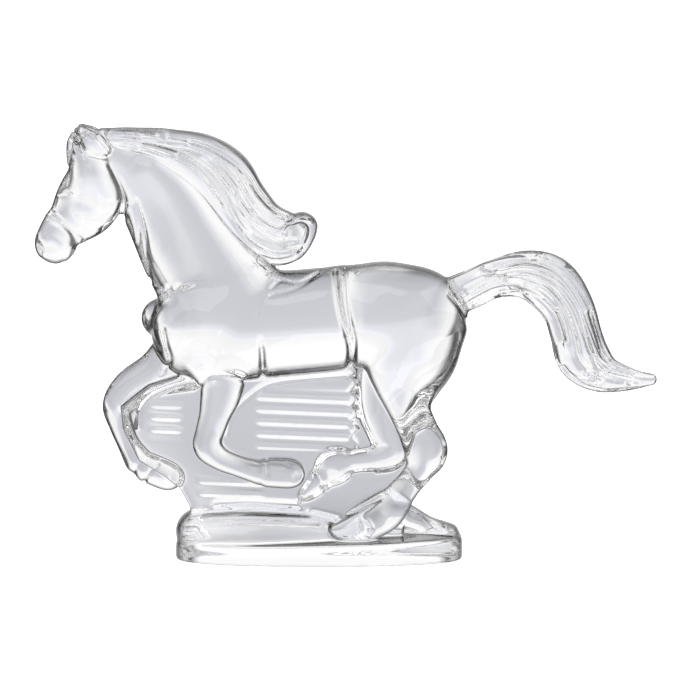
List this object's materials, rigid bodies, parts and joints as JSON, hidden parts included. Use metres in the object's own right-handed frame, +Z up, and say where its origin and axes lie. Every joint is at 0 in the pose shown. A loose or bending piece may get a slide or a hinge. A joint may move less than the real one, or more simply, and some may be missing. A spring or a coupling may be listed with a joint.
{
  "type": "crystal horse sculpture",
  "caption": "Clear solid crystal galloping horse with wavy mane and flowing tail, cast in one with a ridged web and oval plinth; stands as a shelf ornament.",
  "frame": {"origin": "centre of the oval plinth's flat underside", "axes": "+Z up, -X towards the muzzle and +X towards the tail, +Y towards the horse's right side, away from the picture's camera"},
  "size_m": [0.2482, 0.042, 0.176],
  "materials": {
    "clear_crystal": "clear colourless lead crystal, fire polished to a high gloss, lightly wavy where it was pressed"
  },
  "bodies": {
    "root": {"crystal_horse": "clear_crystal"}
  },
  "joints": []
}
